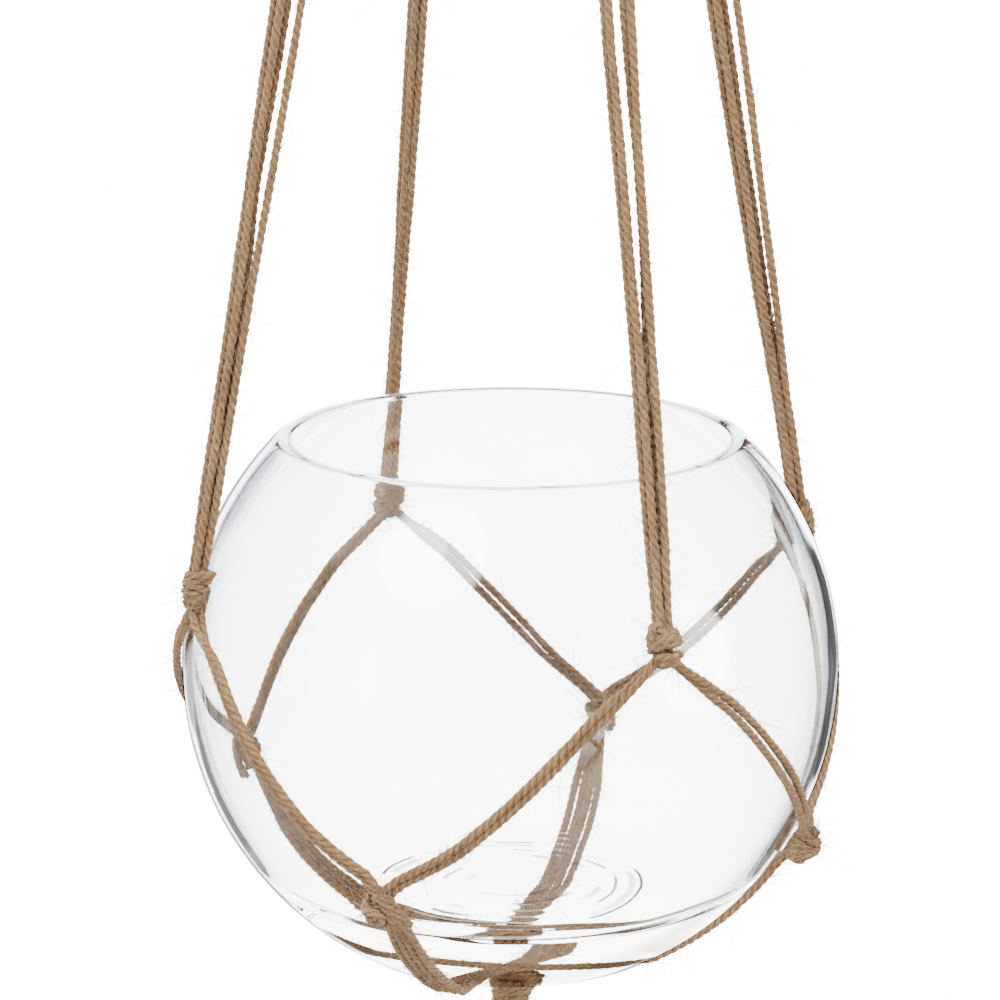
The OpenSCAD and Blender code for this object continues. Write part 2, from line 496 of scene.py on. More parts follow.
def groove_shade(tree):
    """Painted shade where two plies meet, and a slight painted highlight along each ply's middle, by the
    place round the cord.
    """
    place = new_node(tree, "TexCoord")
    split = new_node(tree, "SeparateXYZ")
    put(split.inputs[0], place.outputs["UV"])
    # The middle of a ply is 2.5 sides on from its first side
    turned = calculate(tree, "MULTIPLY_ADD", split.outputs[0], PLIES * TURN, -2.5 * TURN / PLY_SIDES)
    lifted = between(tree, calculate(tree, "COSINE", turned), -1, 1)
    return ramp(tree, lifted, [(0.0, (0.60, 0.53, 0.46)), (0.35, (0.90, 0.88, 0.85)),
                               (1.0, (1.08, 1.08, 1.08))])


def jute_material(name, shade, crevice_shade):
    """Dull tan bast fibre: streaks along each ply and pale broken fibres, with painted shade in the grooves
    between plies and in crevices.
    """
    material, tree, shader = new_material(name)
    streaks = stretched_noise(tree, 1.0, (26, 0.45, 1), 6)
    broad = stretched_noise(tree, 30.0, (1, 1, 1), 3, "Object")
    fine = stretched_noise(tree, 1.0, (70, 1.6, 1), 4)
    tone = ramp(tree, streaks, [
        (0.34, tuple(shade * c for c in (0.23, 0.123, 0.050))),
        (0.46, tuple(shade * c for c in (0.37, 0.210, 0.093))),
        (0.55, tuple(shade * c for c in (0.48, 0.287, 0.134))),
        (0.66, tuple(shade * c for c in (0.72, 0.480, 0.255))),
    ])
    patches = ramp(tree, broad, [(0.3, (0.80, 0.74, 0.68)), (0.7, (1.08, 1.08, 1.08))])
    tone = tinted(tree, tone, patches, 0.8)
    grain = ramp(tree, fine, [(0.38, (0.62, 0.58, 0.52)), (0.6, (1.15, 1.15, 1.15))])
    tone = tinted(tree, tone, grain, 0.7)
    tone = tinted(tree, tone, groove_shade(tree))
    # Painted shade: the colour is darkened where ambient occlusion finds a crevice
    hidden = new_node(tree, "AmbientOcclusion")
    hidden.samples = 4
    settle(hidden, {"Distance": 0.0035})
    crevice = ramp(tree, hidden.outputs["AO"], [(0.15, crevice_shade), (0.75, (1, 1, 1))])
    settle(shader, {"Base Color": tinted(tree, tone, crevice), "Roughness": 0.85,
                    "Specular IOR Level": 0.25, "Sheen Weight": 0.25, "Sheen Roughness": 0.5,
                    "Sheen Tint": (0.9, 0.78, 0.6)})
    add_bump(tree, shader, fine, 0.9, 0.0005)
    return material


def fibre_material():
    """Single loose fibres, in patches of two browns."""
    material, tree, shader = new_material("jute_fibre")
    noise = stretched_noise(tree, 60.0, (1, 1, 1), 2, "Object")
    colour = ramp(tree, noise, [(0.3, (0.26, 0.16, 0.08)), (0.7, (0.46, 0.32, 0.19))])
    settle(shader, {"Base Color": colour, "Roughness": 0.8})
    return material


# How much the glass bends light: in its wall, over the inner floor and at its underside
GLASS_IOR = 1.5
FLOOR_IOR = 1.06
BASE_IOR = 1.004
# Colours painted on the glass. All but the lip's grey are painted reflections: cream at the foot, a grey
# band and a dim line at the outline, and a mauve cast on the left shoulder
PAINTED_FOOT_CREAM = (0.48, 0.37, 0.26)
PAINTED_BAND_GREY = (0.14, 0.15, 0.17)
LIP_GREY = (0.16, 0.17, 0.18)
PAINTED_OUTLINE_GREY = (0.22, 0.23, 0.24)
PAINTED_SHOULDER_MAUVE = (0.13, 0.12, 0.18)
# Middle of the painted mauve reflection, from the bowl's centre
LEFT_SHOULDER = np.array([-95.0, -18.0, 70.0])
# How far the ripple rings wander from round
RIPPLE_WANDER = 5.0
# Ripple rings seen in the foot: radius and half width in mm, darkness, and how much is left out
RIPPLES = [
    (48.5, 1.3, 0.02, 0.46), (45.0, 2.4, 0.30, 0.50), (39.0, 1.2, 0.08, 0.50), (33.0, 2.0, 0.25, 0.50),
    (25.0, 1.2, 0.12, 0.52), (16.0, 1.6, 0.30, 0.53),
]


class GlassPlaces:
    """What the steps of the glass look share: places on the bowl, and how far they face the viewer."""

    def __init__(self, tree):
        self.tree = tree
        self.object = new_node(tree, "TexCoord").outputs["Object"]
        split = new_node(tree, "SeparateXYZ")
        put(split.inputs[0], self.object)
        self.across = split.outputs["X"]
        self.height = split.outputs["Z"]
        edge = new_node(tree, "LayerWeight")
        settle(edge, {"Blend": 0.5})
        self.facing = edge.outputs["Facing"]
        self.streaks = stretched_noise(tree, 16.0, (1, 1, 0.3), 2, "Object")
        away = vector_step(tree, "DISTANCE", self.object, BOWL_AT * MM, "Value")
        self.outside = between(tree, away, (BOWL_R - 1.5) * MM, (BOWL_R - 0.5) * MM)

    def by_height(self, start, end, low=0.0, high=1.0):
        """Runs from low to high between two heights in mm, from the flat inner floor."""
        floor = BOWL_AT[2] + FLOOR_Z
        return between(self.tree, self.height, (floor + start) * MM, (floor + end) * MM, low, high)


def painted_edge_reflection(glass):
    """Painted reflection: greyer where the wall is seen edge on, cream towards the foot, and a grey band
    inside the outline.
    """
    tree = glass.tree
    tone = ramp(tree, calculate(tree, "MULTIPLY_ADD", glass.streaks, 0.5, glass.facing), [
        (0.0, CLEAR), (0.90, (0.985, 0.99, 0.985)), (1.0, (0.86, 0.88, 0.90)),
    ])
    low_down = between(tree, glass.height, (BOWL_AT[2] - 70) * MM, (BOWL_AT[2] - 100) * MM)
    creamy = product(tree, low_down, glass.outside, glass.facing)
    tone = tinted(tree, tone, choose(tree, creamy, CLEAR, PAINTED_FOOT_CREAM))
    # The band is heavier on the right
    band = product(tree, between(tree, glass.facing, 0.58, 0.70), between(tree, glass.facing, 0.84, 0.76))
    grey = product(tree, band, between(tree, glass.across, -0.04, 0.08, 0.20, 1.0), glass.outside)
    return tinted(tree, tone, choose(tree, grey, CLEAR, PAINTED_BAND_GREY))


def with_shoulder_and_lip(glass, tone):
    """A painted reflection, a mauve cast on the left shoulder, and a grey line along the rim's lip."""
    tree = glass.tree
    away = vector_step(tree, "DISTANCE", glass.object, (BOWL_AT + LEFT_SHOULDER) * MM, "Value")
    near = between(tree, away, 27 * MM, 15 * MM)
    shoulder = product(tree, near, between(tree, glass.facing, 0.54, 0.68), glass.outside)
    tone = choose(tree, shoulder, tone, PAINTED_SHOULDER_MAUVE)
    lip = between(tree, glass.height, (BOWL_HIGH[2] - 0.7) * MM, (BOWL_HIGH[2] - 0.3) * MM)
    return choose(tree, lip, tone, LIP_GREY)


def with_ripples(glass, tone):
    """Thin broken rings where the ripples of the thick foot gather the light."""
    tree = glass.tree
    out = vector_step(tree, "LENGTH", vector_step(tree, "MULTIPLY", glass.object, (1, 1, 0)), gives="Value")
    wander = stretched_noise(tree, 26.0, (1, 1, 0), 2, "Object")
    bent = calculate(tree, "MULTIPLY_ADD", wander, RIPPLE_WANDER * MM, out)
    broken = stretched_noise(tree, 34.0, (1, 1, 0), 2, "Object")
    on_floor = product(tree, glass.by_height(3, 2), glass.by_height(-3, -2))
    for radius, half, dark, cover in RIPPLES:
        from_ring = calculate(tree, "SUBTRACT", bent, (radius + RIPPLE_WANDER / 2) * MM)
        on_ring = between(tree, calculate(tree, "ABSOLUTE", from_ring), half * MM, 0.4 * half * MM)
        here = between(tree, broken, cover, cover + 0.05)
        tone = choose(tree, product(tree, on_ring, here, on_floor), tone, (dark**2,) * 3)
    return tone


def let_light_through(glass, shader):
    """Lamp light and light caught inside the wall go straight through, and a painted reflection makes the
    outline a dim line.
    """
    tree = glass.tree
    light = new_node(tree, "LightPath")
    caught = calculate(tree, "GREATER_THAN", light.outputs["Glossy Depth"], 1.5)
    straight = calculate(tree, "MAXIMUM", caught, light.outputs["Is Shadow Ray"])
    line = between(tree, calculate(tree, "MULTIPLY_ADD", glass.streaks, 0.25, glass.facing), 1.0, 1.05)
    line = product(tree, line, glass.outside)
    clear = new_node(tree, "BsdfTransparent")
    outline = product(tree, line, light.outputs["Is Camera Ray"])
    put(clear.inputs[0], choose(tree, outline, (0.97, 0.975, 0.97), PAINTED_OUTLINE_GREY))
    mix = new_node(tree, "MixShader")
    shaders = (calculate(tree, "MAXIMUM", straight, line), shader.outputs[0], clear.outputs[0])
    for socket, value in zip(mix.inputs, shaders):
        put(socket, value)
    output = next(n for n in tree.nodes if n.type == "OUTPUT_MATERIAL")
    settle(output, {"Surface": mix.outputs[0]})


def glass_material():
    """Clear soda glass. Lamps shine through it, so the cord behind it is lit."""
    material, tree, shader = new_material("clear_glass")
    glass = GlassPlaces(tree)
    tone = with_ripples(glass, with_shoulder_and_lip(glass, painted_edge_reflection(glass)))
    # The thick foot bends light less than the wall, so that the net under it stays in view
    bending = glass.by_height(14, 44, FLOOR_IOR, GLASS_IOR)
    under = glass.by_height(-16, -2, BASE_IOR - FLOOR_IOR, 0.0)
    settle(shader, {"Base Color": tone, "Roughness": 0.0, "Transmission Weight": 1.0,
                    "IOR": calculate(tree, "ADD", bending, under)})
    add_bump(tree, shader, stretched_noise(tree, 14.0, (1, 1, 1), 2, "Object"), 0.10, 0.004)
    let_light_through(glass, shader)
    return material


def steel_material():
    """Satin steel wire, a little uneven in brightness and polish."""
    material, tree, shader = new_material("steel_ring")
    noise = stretched_noise(tree, 220.0, (1, 1, 1), 5, "Object")
    colour = ramp(tree, noise, [(0.3, (0.50, 0.50, 0.51)), (0.7, (0.62, 0.62, 0.63))])
    rough = ramp(tree, noise, [(0.3, (0.28,) * 3), (0.75, (0.38,) * 3)])
    settle(shader, {"Base Color": colour, "Roughness": rough, "Metallic": 1.0})
    return material


# The last colour given to each is its painted shade in crevices, deepest in the knots
JUTE = jute_material("jute_cord", 0.92, (0.40, 0.33, 0.27))
JUTE_SHADED = jute_material("jute_cord_shaded", 0.78, (0.40, 0.33, 0.27))
JUTE_KNOT = jute_material("jute_knot", 0.90, (0.22, 0.17, 0.13))
FIBRE = fibre_material()
GLASS = glass_material()
STEEL = steel_material()


# ---- camera

# Distance from the bowl, lens and sensor in mm, and angles in degrees
CAMERA_AWAY = 2000.0
CAMERA_ELEVATION = 15.0
CAMERA_PITCH = 13.3
CAMERA_YAW = 0.114
LENS = 196.7
SENSOR = 36.0


def add_camera():
    """A long lens in front of the bowl and a little above it."""
    data = bpy.data.cameras.new("camera")
    data.lens = LENS
    data.sensor_width = SENSOR
    data.clip_end = 100
    camera = add_object("camera", data)
    up = math.radians(CAMERA_ELEVATION)
    away = CAMERA_AWAY * np.array([0, -math.cos(up), math.sin(up)])
    camera.location = (BOWL_AT + away) * MM
    camera.rotation_euler = (math.radians(90 - CAMERA_PITCH), 0, math.radians(CAMERA_YAW))
    bpy.context.scene.camera = camera


# ---- tassel: the free cords

# One strand: steps outward, sideways and down from where it leaves the knot
TASSEL_ROUTE = np.array([
    [0, 0, 0], [0, 0, 8], [0.2, 0.1, 16], [0.6, 0.4, 24], [1.2, 0.8, 32],
    [1.9, 1.1, 40], [2.6, 1.2, 48], [3.2, 1.1, 56], [3.8, 0.8, 64], [4.3, 0.4, 72],
    [4.8, 0, 80], [5.3, -0.3, 88], [5.8, -0.4, 96], [6.3, -0.3, 104], [6.8, 0, 112],
])
# How much of the route each strand follows before its cut end
TASSEL_CUT = [1, 0.95, 0.98, 0.92, 0.99, 0.94, 1, 0.96, 0.9, 0.97, 0.93, 1, 0.95, 0.98, 0.91, 0.96]
INNER_STRANDS = 5
# How far a strand goes up into the knot
NECK = 7.0


def hang_tassel(piece):
    """Bakes the tassel piece's transform into its mesh."""
    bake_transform(piece)


def add_tassel():
    """The free strands under the bottom knot: an inner and an outer group, with frayed ends."""
    top = KNOT_LOW[2] - 0.4
    loose = Mesh(fibres_only=True)
    for number, cut in enumerate(TASSEL_CUT, start=1):
        rng = np.random.default_rng(SEEDS["tassel"] + number)
        inner = number <= INNER_STRANDS
        share = number / INNER_STRANDS if inner else number / (len(TASSEL_CUT) - INNER_STRANDS)
        start_r = (0.92 if inner else 1.95) * 2 * CORD_R
        spread = 0.4 if inner else 1.0
        x = start_r + spread * TASSEL_ROUTE[:, 0]
        y = spread * TASSEL_ROUTE[:, 1]
        a = TURN * share
        path = np.stack([x * math.cos(a) - y * math.sin(a), x * math.sin(a) + y * math.cos(a),
                         top - cut * TASSEL_ROUTE[:, 2]], 1)
        neck = path[0] + np.array([0, 0, NECK])
        neck[:2] *= 0.8
        path = spline(np.vstack([neck, path]), 60)
        mesh = Mesh()
        add_cord(mesh, path, rng, frayed=True, fibre_mesh=loose)
        piece = mesh.build(f"tassel_cord_{number}", [JUTE], nodes=[f"tassel_strand_{number}"])
        hang_tassel(piece)
    hang_tassel(loose.build("tassel_fibres", [FIBRE]))


# ---- legs, net and bands

def knot_point(knot):
    """The middle of a net knot, from the bowl's centre."""
    low, high = node_box(knot)
    return KNOT_R * unit((low + high) / 2 - BOWL_AT)


# Where the four strands of each leg lie, left to right, in mm right of the leg's line. Each row is
# a place along the leg, from 0 at the top to 1 at its knot.
LEG_SPREAD = {
    "front_left": [
        (0, -3.5, -1.0, 0.6, 3.2), (0.4, -4.4, -2.0, 0.4, 4.6), (0.66, -4.6, -2.4, -0.2, 4.8),
        (0.72, -4.4, -2.2, -0.3, 4.4), (0.78, -3.9, -2.3, -0.8, 4.0), (0.84, -3.4, -1.2, 0.9, 3.3),
        (0.95, -2.5, -0.9, 0.9, 2.5), (1, -2.5, -0.8, 0.8, 2.5)],
    "front_right": [
        (0, -3.5, -1.6, 1.0, 3.4), (0.4, -4.4, -3.0, 1.4, 4.8), (0.63, -4.6, -2.9, 1.9, 5.1),
        (0.69, -4.5, -3.0, 2.1, 4.6), (0.75, -3.9, -1.9, 3.1, 4.0), (0.80, -3.4, -1.7, 3.2, 3.7),
        (0.86, -3.3, -1.1, 1.0, 3.3), (0.92, -3.2, -1.1, 1.1, 3.2), (1, -2.6, -0.8, 0.8, 2.6)],
    "back_right": [
        (0, -3.5, -1.4, 0.4, 3.2), (0.4, -4.6, -2.2, 0.2, 4.6), (0.70, -4.7, -2.3, 0.2, 5.0),
        (0.76, -4.4, -2.2, 0.0, 4.6), (0.82, -3.7, -1.6, 0.4, 3.9), (0.875, -3.1, -1.5, 0.1, 3.5),
        (0.93, -2.2, -0.7, 0.7, 2.2), (1, -2.2, -0.7, 0.7, 2.2)],
    "back_left": [
        (0, -2.2, -0.8, 0.8, 2.2), (0.72, -2.2, -0.8, 0.7, 2.2), (0.82, -1.9, -0.6, 0.6, 1.9),
        (0.89, -1.4, -0.4, 0.4, 1.4), (1, -1.5, -0.5, 0.5, 1.5)],
}


# Distance from the hanging line to each leg's middle, where the wrap holds it
LEG_TOP_R = 6.4


def add_legs():
    """The four legs: each is four strands that run side by side from the wrap to an upper knot."""
    for side_number, side in enumerate(SIDES):
        knot = knot_point(f"upper_knot_{side}") + BOWL_AT
        flat = unit(knot[:2])
        top = np.array([LEG_TOP_R * flat[0], LEG_TOP_R * flat[1], WRAP_LOW[2]])
        along = unit(knot - top)
        sideways = np.array([-flat[1], flat[0], 0])
        across = np.cross(along, sideways)
        bundle = [PITCH * ((((strand + 1) % 2) - 0.5) * sideways + (strand // 2 - 0.5) * across)
                  for strand in range(4)]
        rows = np.array(LEG_SPREAD[side])
        for strand, place in enumerate(bundle):
            rng = np.random.default_rng(SEEDS["leg"] + 10 * side_number + strand)
            from_left = sum(other[0] < place[0] for other in bundle)
            s = np.linspace(0, 1, 60)
            start = top - 4 * along
            end = knot - 2 * along
            line = start + (end - start) * s[:, None]
            loose = (ease(s / 0.12) * ease((1 - s) / 0.06))[:, None]
            spread = np.zeros_like(line)
            spread[:, 0] = np.interp(s, rows[:, 0], rows[:, 1 + from_left])
            spread[:, 0] += 0.2 * np.sin(TURN * (3.5 * s + rng.random()))
            spread[:, 1] = 1.3 * (-1) ** from_left
            path = line + (1 - loose) * place + loose * spread
            mesh = Mesh()
            add_cord(mesh, spline(path, 300), rng)
            jute = JUTE_SHADED if side == "back_left" else JUTE
            mesh.build(f"{side}_leg_cord_{strand + 1}", [jute, FIBRE], "net",
                       [f"{side}_leg_strand_{strand + 1}"])


# How far the strands stay together below each upper knot before they part
NECKS = [9.0, 4.5, 6.0, 5.0]
# How much the two strands of each net pair part at mid-length, as a share of their pitch
PAIR_PART = [0.0, 0.0, 0.0, 0.45, 0.0, 0.30, 0.25, 0.0]


def tangent_up(outward):
    """The direction straight up the glass where outward leaves it."""
    return unit(np.array([0, 0, 1]) - outward[2] * outward)


def add_net():
    """Two strands side by side on the glass, from each upper knot to the lower knots beside it."""
    for half in range(8):
        leg = half // 2
        face = (leg + 3 + half % 2) % 4
        start = unit(knot_point(f"upper_knot_{SIDES[leg]}"))
        end = unit(knot_point(f"lower_knot_{FACES[face]}"))
        axis = unit(np.cross(start, end))
        forward = np.cross(axis, start)
        sweep = math.acos(float(start @ end))
        name = f"net_pair_{SIDES[leg]}_to_{FACES[face]}"
        mesh = Mesh()
        rng = np.random.default_rng(SEEDS["net"] + half)
        for lane in (-0.5, 0.5):
            s = np.concatenate([np.zeros(3), np.linspace(0, 1, 40)])
            a = sweep * s
            gap = PITCH * lane * (0.84 + PAIR_PART[half] * np.sin(math.pi * s) ** 2)
            gap = gap + 0.15 * np.sin(math.pi * s) * np.sin(TURN * s + rng.uniform(0, TURN))
            path = np.cos(a)[:, None] * start + np.sin(a)[:, None] * forward
            path = NET_R * path + gap[:, None] * axis
            neck = NECKS[leg] * ease(1 - s / 0.3)
            neck[:3] *= (0, 0.35, 0.7)
            path = path - neck[:, None] * tangent_up(start)
            path = path + 4.0 * ease(1 - (1 - s) / 0.3)[:, None] * tangent_up(end)
            together = ease(1 - s / 0.22)
            beside = np.cross(tangent_up(start), start) * (0.8 * PITCH * (half % 2 - 0.5))
            path = path + (together[:, None] * (beside - PITCH * lane * axis))
            dive = 3.2 * ease(1 - (1 - s) / 0.07) + together * PITCH * (lane + 0.5)
            path = unit(path) * (NET_R + dive)[:, None] + BOWL_AT
            add_cord(mesh, spline(path, 160), rng)
        mesh.build(name + "_cords", [JUTE, FIBRE], "net", [name])


def add_bands():
    """Four strands side by side from each lower knot, round the foot's edge and in to the bottom knot."""
    bend = 4.0
    for number, face in enumerate(FACES):
        knot = knot_point(f"lower_knot_{face}")
        flat = unit(knot[:2])
        out = np.array([flat[0], flat[1], 0])
        side = np.array([-flat[1], flat[0], 0])
        knot_angle = math.asin(knot[2] / KNOT_R)
        mesh = Mesh()
        rng = np.random.default_rng(SEEDS["band"] + number)
        for lane in (-1.5, -0.5, 0.5, 1.5):
            elbow_z = UNDER_Z + bend
            elbow_x = math.sqrt((NET_R - bend) ** 2 - elbow_z**2)
            foot = math.atan2(elbow_z, elbow_x)
            arc = np.linspace(knot_angle, foot, 24)
            down = NET_R * np.stack([np.cos(arc), np.sin(arc)], 1)
            turn = np.linspace(foot, -math.pi / 2, 6)[1:]
            corner = np.array([elbow_x, elbow_z]) + bend * np.stack([np.cos(turn), np.sin(turn)], 1)
            level = np.stack([np.linspace(elbow_x, 5, 10)[1:], np.full(9, UNDER_Z)], 1)
            route = np.vstack([down, corner, level])
            s = np.linspace(0, 1, len(route))
            width = 0.45 + 0.52 * ease(s / 0.25) - 0.35 * ease((s - 0.75) / 0.25)
            wander = 0.3 * np.sin(TURN * s + rng.uniform(0, TURN)) * np.sin(math.pi * s)
            place = PITCH * lane * width + wander
            lift = (1.6 * ease(1 - s / 0.12))[:, None]
            path = (route[:, :1] + lift) * out + route[:, 1:] * np.array([0, 0, 1]) + \
                place[:, None] * side + BOWL_AT
            add_cord(mesh, spline(path, 160), rng)
        mesh.build(f"base_band_{face}_cords", [JUTE, FIBRE], "net", [f"base_band_{face}"])


# ---- knots and bindings

# A turn of cord in a knot: its middle to the right and up, its half width and half depth,
# its rise to the right for each mm, and the angle where its ends are tucked in.
BARREL = [
    (0.1, 4.5, 4.2, 4.0, 0.34, 200), (0.0, 2.3, 4.0, 4.0, 0.22, 40), (0.1, 0.2, 3.8, 4.0, 0.12, 150),
    (0.1, -1.9, 3.5, 3.7, 0.06, 10), (0.2, -4.0, 2.9, 3.2, 0.02, 170), (0.4, -6.0, 2.0, 2.6, -0.02, 60),
]
EARED = [
    (-0.1, 2.2, 4.6, 4.2, 0.10, 30), (-0.1, 0.6, 5.0, 4.9, 0.12, 200), (0.0, -1.0, 4.9, 4.7, 0.12, 160),
    (0.8, -4.9, 3.8, 4.2, -0.03, 20), (0.9, -6.8, 2.9, 3.4, -0.05, 190),
]
LUMP = [
    (-2.4, 2.4, 3.0, 4.8, -0.10, 20), (-2.6, 0.4, 3.4, 5.4, -0.20, 170),
    (-2.5, -1.8, 3.2, 5.0, -0.30, 30), (-1.8, -4.0, 2.6, 4.0, -0.30, 180),
]
CROSSED = [
    (-0.2, 3.2, 4.0, 3.8, -0.10, 160), (0.4, 1.0, 5.0, 4.5, 0.18, 20), (0.0, -0.8, 5.1, 4.7, 0.24, 200),
    (-0.6, -2.6, 4.9, 4.4, 0.26, 150), (-1.0, -4.6, 3.8, 3.8, 0.15, 40),
]

# Strands that pass over the front of a knot: points to the right, up and towards the viewer
EAR = [[(-5.0, -1.0, 2.0), (-5.0, 2.5, 3.4), (-4.2, 5.4, 3.8), (-2.6, 6.2, 3.8), (-1.2, 4.6, 4.0),
        (0.2, 2.4, 3.6), (1.0, 0.6, 2.0)]]
SPIRAL = [
    [(-5.6, 1.0, 3.2), (-4.6, 3.2, 5.0), (-2.0, 3.4, 6.2), (0.0, 1.6, 6.4), (0.0, -0.8, 6.0),
     (-1.6, -1.8, 5.0)],
    [(0.4, 6.4, 1.5), (2.6, 4.4, 3.6), (4.2, 1.0, 4.2), (5.0, -4.0, 3.8), (6.0, -9.0, 1.5)],
    [(-0.8, 6.4, 1.0), (1.0, 4.6, 2.8), (2.4, 0.6, 4.4), (3.0, -4.5, 4.0), (3.8, -9.5, 1.4)],
    [(2.2, 6.2, 1.0), (4.2, 4.2, 2.4), (5.6, 0.8, 3.0), (6.8, -4.0, 2.6), (8.0, -8.6, 1.2)],
]

# Each knot in the net, how it is tied, and how far it is turned about its upright, in degrees
NET_KNOTS = [
    ("upper_knot_front_left", BARREL, [], 60),
    ("upper_knot_front_right", EARED, EAR, -15),
    ("upper_knot_back_right", BARREL, [], -20),
    ("upper_knot_back_left", EARED, EAR, 10),
    ("lower_knot_front", LUMP, SPIRAL, 15),
    ("lower_knot_right", CROSSED, [], -40),
    ("lower_knot_back", CROSSED, [], 0),
    ("lower_knot_left", LUMP, SPIRAL, -10),
]


def turn_path(loop):
    """One turn of cord round a knot, in the knot's own directions, with both ends tucked inside it."""
    x, up, wide, deep, slope, start = loop
    a = np.radians(np.linspace(start, start + 400, 60))
    s = np.linspace(0, 1, 60)
    tuck = 1 - 0.5 * (ease(1 - s / 0.1) + ease(1 - (1 - s) / 0.1))
    across = wide * tuck * np.cos(a)
    return np.stack([x + across, up + slope * across + 1.2 * (s - 0.5), 0.3 + deep * tuck * np.sin(a)], 1)


def on_glass(path):
    """The path pushed out to where a cord lies on the glass, wherever it goes deeper."""
    away = np.linalg.norm(path, axis=1)[:, None]
    return path / away * np.maximum(away, NET_R + 0.15)


def add_net_knots():
    """The eight knots on the glass, with the strands that pass through each of them."""
    for number, (name, loops, over, turned) in enumerate(NET_KNOTS):
        rng = np.random.default_rng(SEEDS["knot"] + number)
        middle = knot_point(name)
        out = unit(middle)
        up = tangent_up(out)
        right = np.cross(up, out)
        a = math.radians(turned)
        axes = np.stack([math.cos(a) * right - math.sin(a) * out, up,
                         math.cos(a) * out + math.sin(a) * right])
        paths = []
        for loop in loops:
            varied = np.array(loop) + rng.normal(size=6) * (0.1, 0.15, 0.1, 0.1, 0.03, 10)
            paths.append(turn_path(varied))
        paths += [spline(points, 40) for points in over]
        for x in (-1.2, 1.2):
            for deep in (-1.0, 1.2):
                paths.append(np.array([(x, height, deep) for height in np.linspace(-7, 7, 14)]))
        mesh = Mesh()
        for path in paths:
            add_cord(mesh, on_glass(middle + path @ axes) + BOWL_AT, rng, step=0.8)
        mesh.build(name + "_cords", [JUTE_KNOT, FIBRE], "net", [name])


# The turns of the knot under the bowl, given as for the net's knots
BOTTOM_LOOPS = [
    (1.0, -7.4, 5.0, 5.4, 0.10, 10), (1.4, -4.8, 7.0, 7.4, 0.16, 130), (2.2, -2.0, 8.4, 8.6, 0.22, 250),
    (2.4, 0.8, 8.8, 9.2, 0.16, 60), (2.0, 3.5, 8.6, 9.0, -0.10, 190), (1.2, 6.2, 8.0, 8.4, -0.06, 310),
    (0.6, 8.6, 7.4, 7.6, 0.0, 100),
]


def add_bottom_knot():
    """The large knot under the bowl, wound round a core of upright strands."""
    rng = np.random.default_rng(SEEDS["bottom"])
    axes = np.array([[1.0, 0, 0], [0, 0, 1.0], [0, -1.0, 0]])
    mesh = Mesh()
    for loop in BOTTOM_LOOPS:
        add_cord(mesh, TASSEL_AT + turn_path(loop) @ axes, rng, step=0.9)
    for number in range(10):
        a = TURN * number / 10
        core = np.array([(5.8 * math.cos(a) + 0.8, up, 5.8 * math.sin(a)) for up in np.linspace(-8, 9, 14)])
        add_cord(mesh, TASSEL_AT + core @ axes, rng, fuzz=0)
    mesh.build("bottom_knot_cords", [JUTE_KNOT, FIBRE], "net", ["bottom_knot"])


# Radius of the wound cord's middle, and of the ring of strands inside it
WRAP_R = 9.4
CORE_R = 5.4


def add_gathering_wrap():
    """One cord wound round the strands just under the ring, with both ends tucked in."""
    rng = np.random.default_rng(SEEDS["wrap"])
    height = WRAP_HIGH[2] - WRAP_LOW[2]
    turns = int(height / (PITCH - 0.05))
    a = np.linspace(0, TURN * turns, 36 * turns)
    s = a / a[-1]
    radius = WRAP_R + 0.15 * np.sin(5 * a) - 3.5 * (ease(1 - s * turns * 4) + ease(1 - (1 - s) * turns * 4))
    z = WRAP_HIGH[2] - CORD_R - s * (height - 2 * CORD_R)
    path = np.stack([radius * np.cos(a), radius * np.sin(a), z], 1)
    mesh = Mesh()
    add_cord(mesh, path, rng, step=0.9)
    for number in range(12):
        b = TURN * number / 12
        core = np.stack([np.full(12, CORE_R * math.cos(b)), np.full(12, CORE_R * math.sin(b)),
                         np.linspace(WRAP_LOW[2] + 1, WRAP_HIGH[2] - 1, 12)], 1)
        add_cord(mesh, core, rng, fuzz=0)
    mesh.build("gathering_wrap_cord", [JUTE_KNOT, FIBRE], "net", ["gathering_wrap"])


def add_ring_folds():
    """Eight cords over the ring: four side by side, in two layers, worn smooth next to the steel."""
    lane = PITCH + STRAND_GAP
    for column in range(4):
        rng = np.random.default_rng(SEEDS["fold"] + column)
        x = (column - 1.5) * lane
        fold_z = WIRE_AT[2] + RING_R - math.sqrt(RING_R**2 - x * x)
        mesh = Mesh()
        for layer in range(2):
            fold_r = WIRE_R + 0.8 + CORD_R + layer * lane
            over = np.radians(np.linspace(0, 180, 24))
            arch = np.stack([np.full(24, x), fold_r * np.cos(over), fold_z + fold_r * np.sin(over)], 1)
            drop = np.linspace(fold_z - 1, WRAP_HIGH[2] - 5, 12)
            squeeze = 1 - 0.22 * ease((fold_z - drop) / (fold_z - drop[-1]))
            leg = np.stack([x * squeeze, fold_r * squeeze, drop], 1)
            path = np.vstack([leg[::-1], arch, leg * np.array([1, -1, 1])])
            add_cord(mesh, spline(path, 200), rng, step=0.9, fuzz=0.5 * layer)
        mesh.build(f"ring_fold_{column + 1}_cords", [JUTE, FIBRE], "net", [f"ring_fold_{column + 1}"])


# ---- ring and bowl

